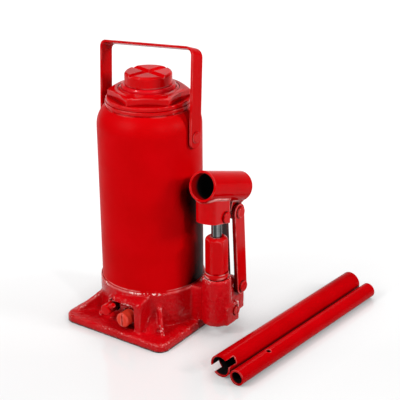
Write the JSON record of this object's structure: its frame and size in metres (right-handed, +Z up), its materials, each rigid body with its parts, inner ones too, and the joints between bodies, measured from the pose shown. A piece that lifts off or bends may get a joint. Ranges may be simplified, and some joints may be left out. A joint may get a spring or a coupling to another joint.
{
  "type": "bottle jack",
  "caption": "Hydraulic bottle jack: round oil tank on a cast foot, ram with grooved saddle, side hand pump with socket lever, release valve, carry strap and loose handle tubes.",
  "frame": {"origin": "on the floor under the ram's axis", "axes": "+Z up along the ram, +X toward the pump, -Y toward the valves and the mouth of the handle socket"},
  "size_m": [0.2572, 0.2415, 0.3112],
  "materials": {
    "cast_paint": "glossy red enamel over a sand-cast surface",
    "red_paint": "glossy red enamel",
    "orange_paint": "glossy orange-red enamel",
    "ground_steel": "ground and lightly oiled",
    "copper": "soft copper",
    "rubber": "black oil-proof rubber"
  },
  "bodies": {
    "base": {"base_casting": "cast_paint", "tank": "red_paint", "lower_gasket": "rubber", "upper_gasket": "rubber", "pressure_cylinder": "ground_steel", "cylinder_washer": "copper", "top_nut": "red_paint", "ram_wiper": "rubber", "pump_cylinder": "red_paint", "pump_washer": "copper", "pump_packing": "rubber", "release_ball": "ground_steel", "safety_plug": "orange_paint", "safety_spring": "ground_steel", "safety_ball": "ground_steel", "suction_ball": "ground_steel", "delivery_ball": "ground_steel", "gallery_plug": "red_paint", "filler_plug": "rubber", "strap_rivets": "red_paint", "strap_washers": "red_paint"},
    "ram": {"ram": "ground_steel", "ram_cup": "rubber", "cup_nut": "ground_steel"},
    "saddle": {"saddle": "red_paint"},
    "links": {"link_right": "red_paint", "link_left": "red_paint", "link_pin_upper": "red_paint", "link_pin_lower": "red_paint"},
    "socket": {"handle_socket": "red_paint", "socket_yoke": "red_paint", "socket_lug": "red_paint", "plunger_pin": "red_paint"},
    "plunger": {"plunger": "ground_steel"},
    "release_valve": {"release_valve": "red_paint", "release_cross_pin": "red_paint"},
    "carry_strap": {"carry_strap": "red_paint"},
    "slotted_tube": {"handle_tube_slotted": "red_paint"},
    "plain_tube": {"handle_tube_plain": "red_paint"}
  },
  "joints": [
    {"name": "ram_lift", "type": "slide", "parent": "base", "child": "ram", "axis": [0, 0, 1], "range_m": [0, 0.145]},
    {"name": "saddle_swivel", "type": "hinge", "parent": "ram", "child": "saddle", "pos_m": [0, 0, 0.27], "axis": [0, 0, 1], "continuous": true},
    {"name": "link_swing", "type": "hinge", "parent": "base", "child": "links", "pos_m": [0.084, 0.0305, 0.0445], "axis": [1, 0, 0], "range_deg": [-0.3, 0.7]},
    {"name": "socket_pump", "type": "hinge", "parent": "links", "child": "socket", "pos_m": [0.084, 0.0247, 0.1332], "axis": [1, 0, 0], "range_deg": [-10, 28]},
    {"name": "plunger_stroke", "type": "slide", "parent": "base", "child": "plunger", "axis": [0, 0, 1], "range_m": [-0.013, 0.005]},
    {"name": "release_turn", "type": "hinge", "parent": "base", "child": "release_valve", "pos_m": [-0.009, -0.07, 0.029], "axis": [0, -1, 0], "range_deg": [0, 270]},
    {"name": "strap_swing", "type": "hinge", "parent": "base", "child": "carry_strap", "pos_m": [0, 0, 0.216], "axis": [-1, 0, 0], "range_deg": [0, 128]},
    {"name": "slotted_tube_lift", "type": "slide", "parent": "base", "child": "slotted_tube", "axis": [0, 0, 1], "range_m": [0, 0.25]},
    {"name": "plain_tube_lift", "type": "slide", "parent": "base", "child": "plain_tube", "axis": [0, 0, 1], "range_m": [0, 0.25]}
  ],
  "couplings": [
    {"joint": "link_swing", "follows": "socket_pump", "ratio": 0.02},
    {"joint": "plunger_stroke", "follows": "socket_pump", "m_per_rad": -0.0252},
    {"joint": "strap_swing", "follows": "ram_lift", "rad_per_m": 15.4}
  ]
}
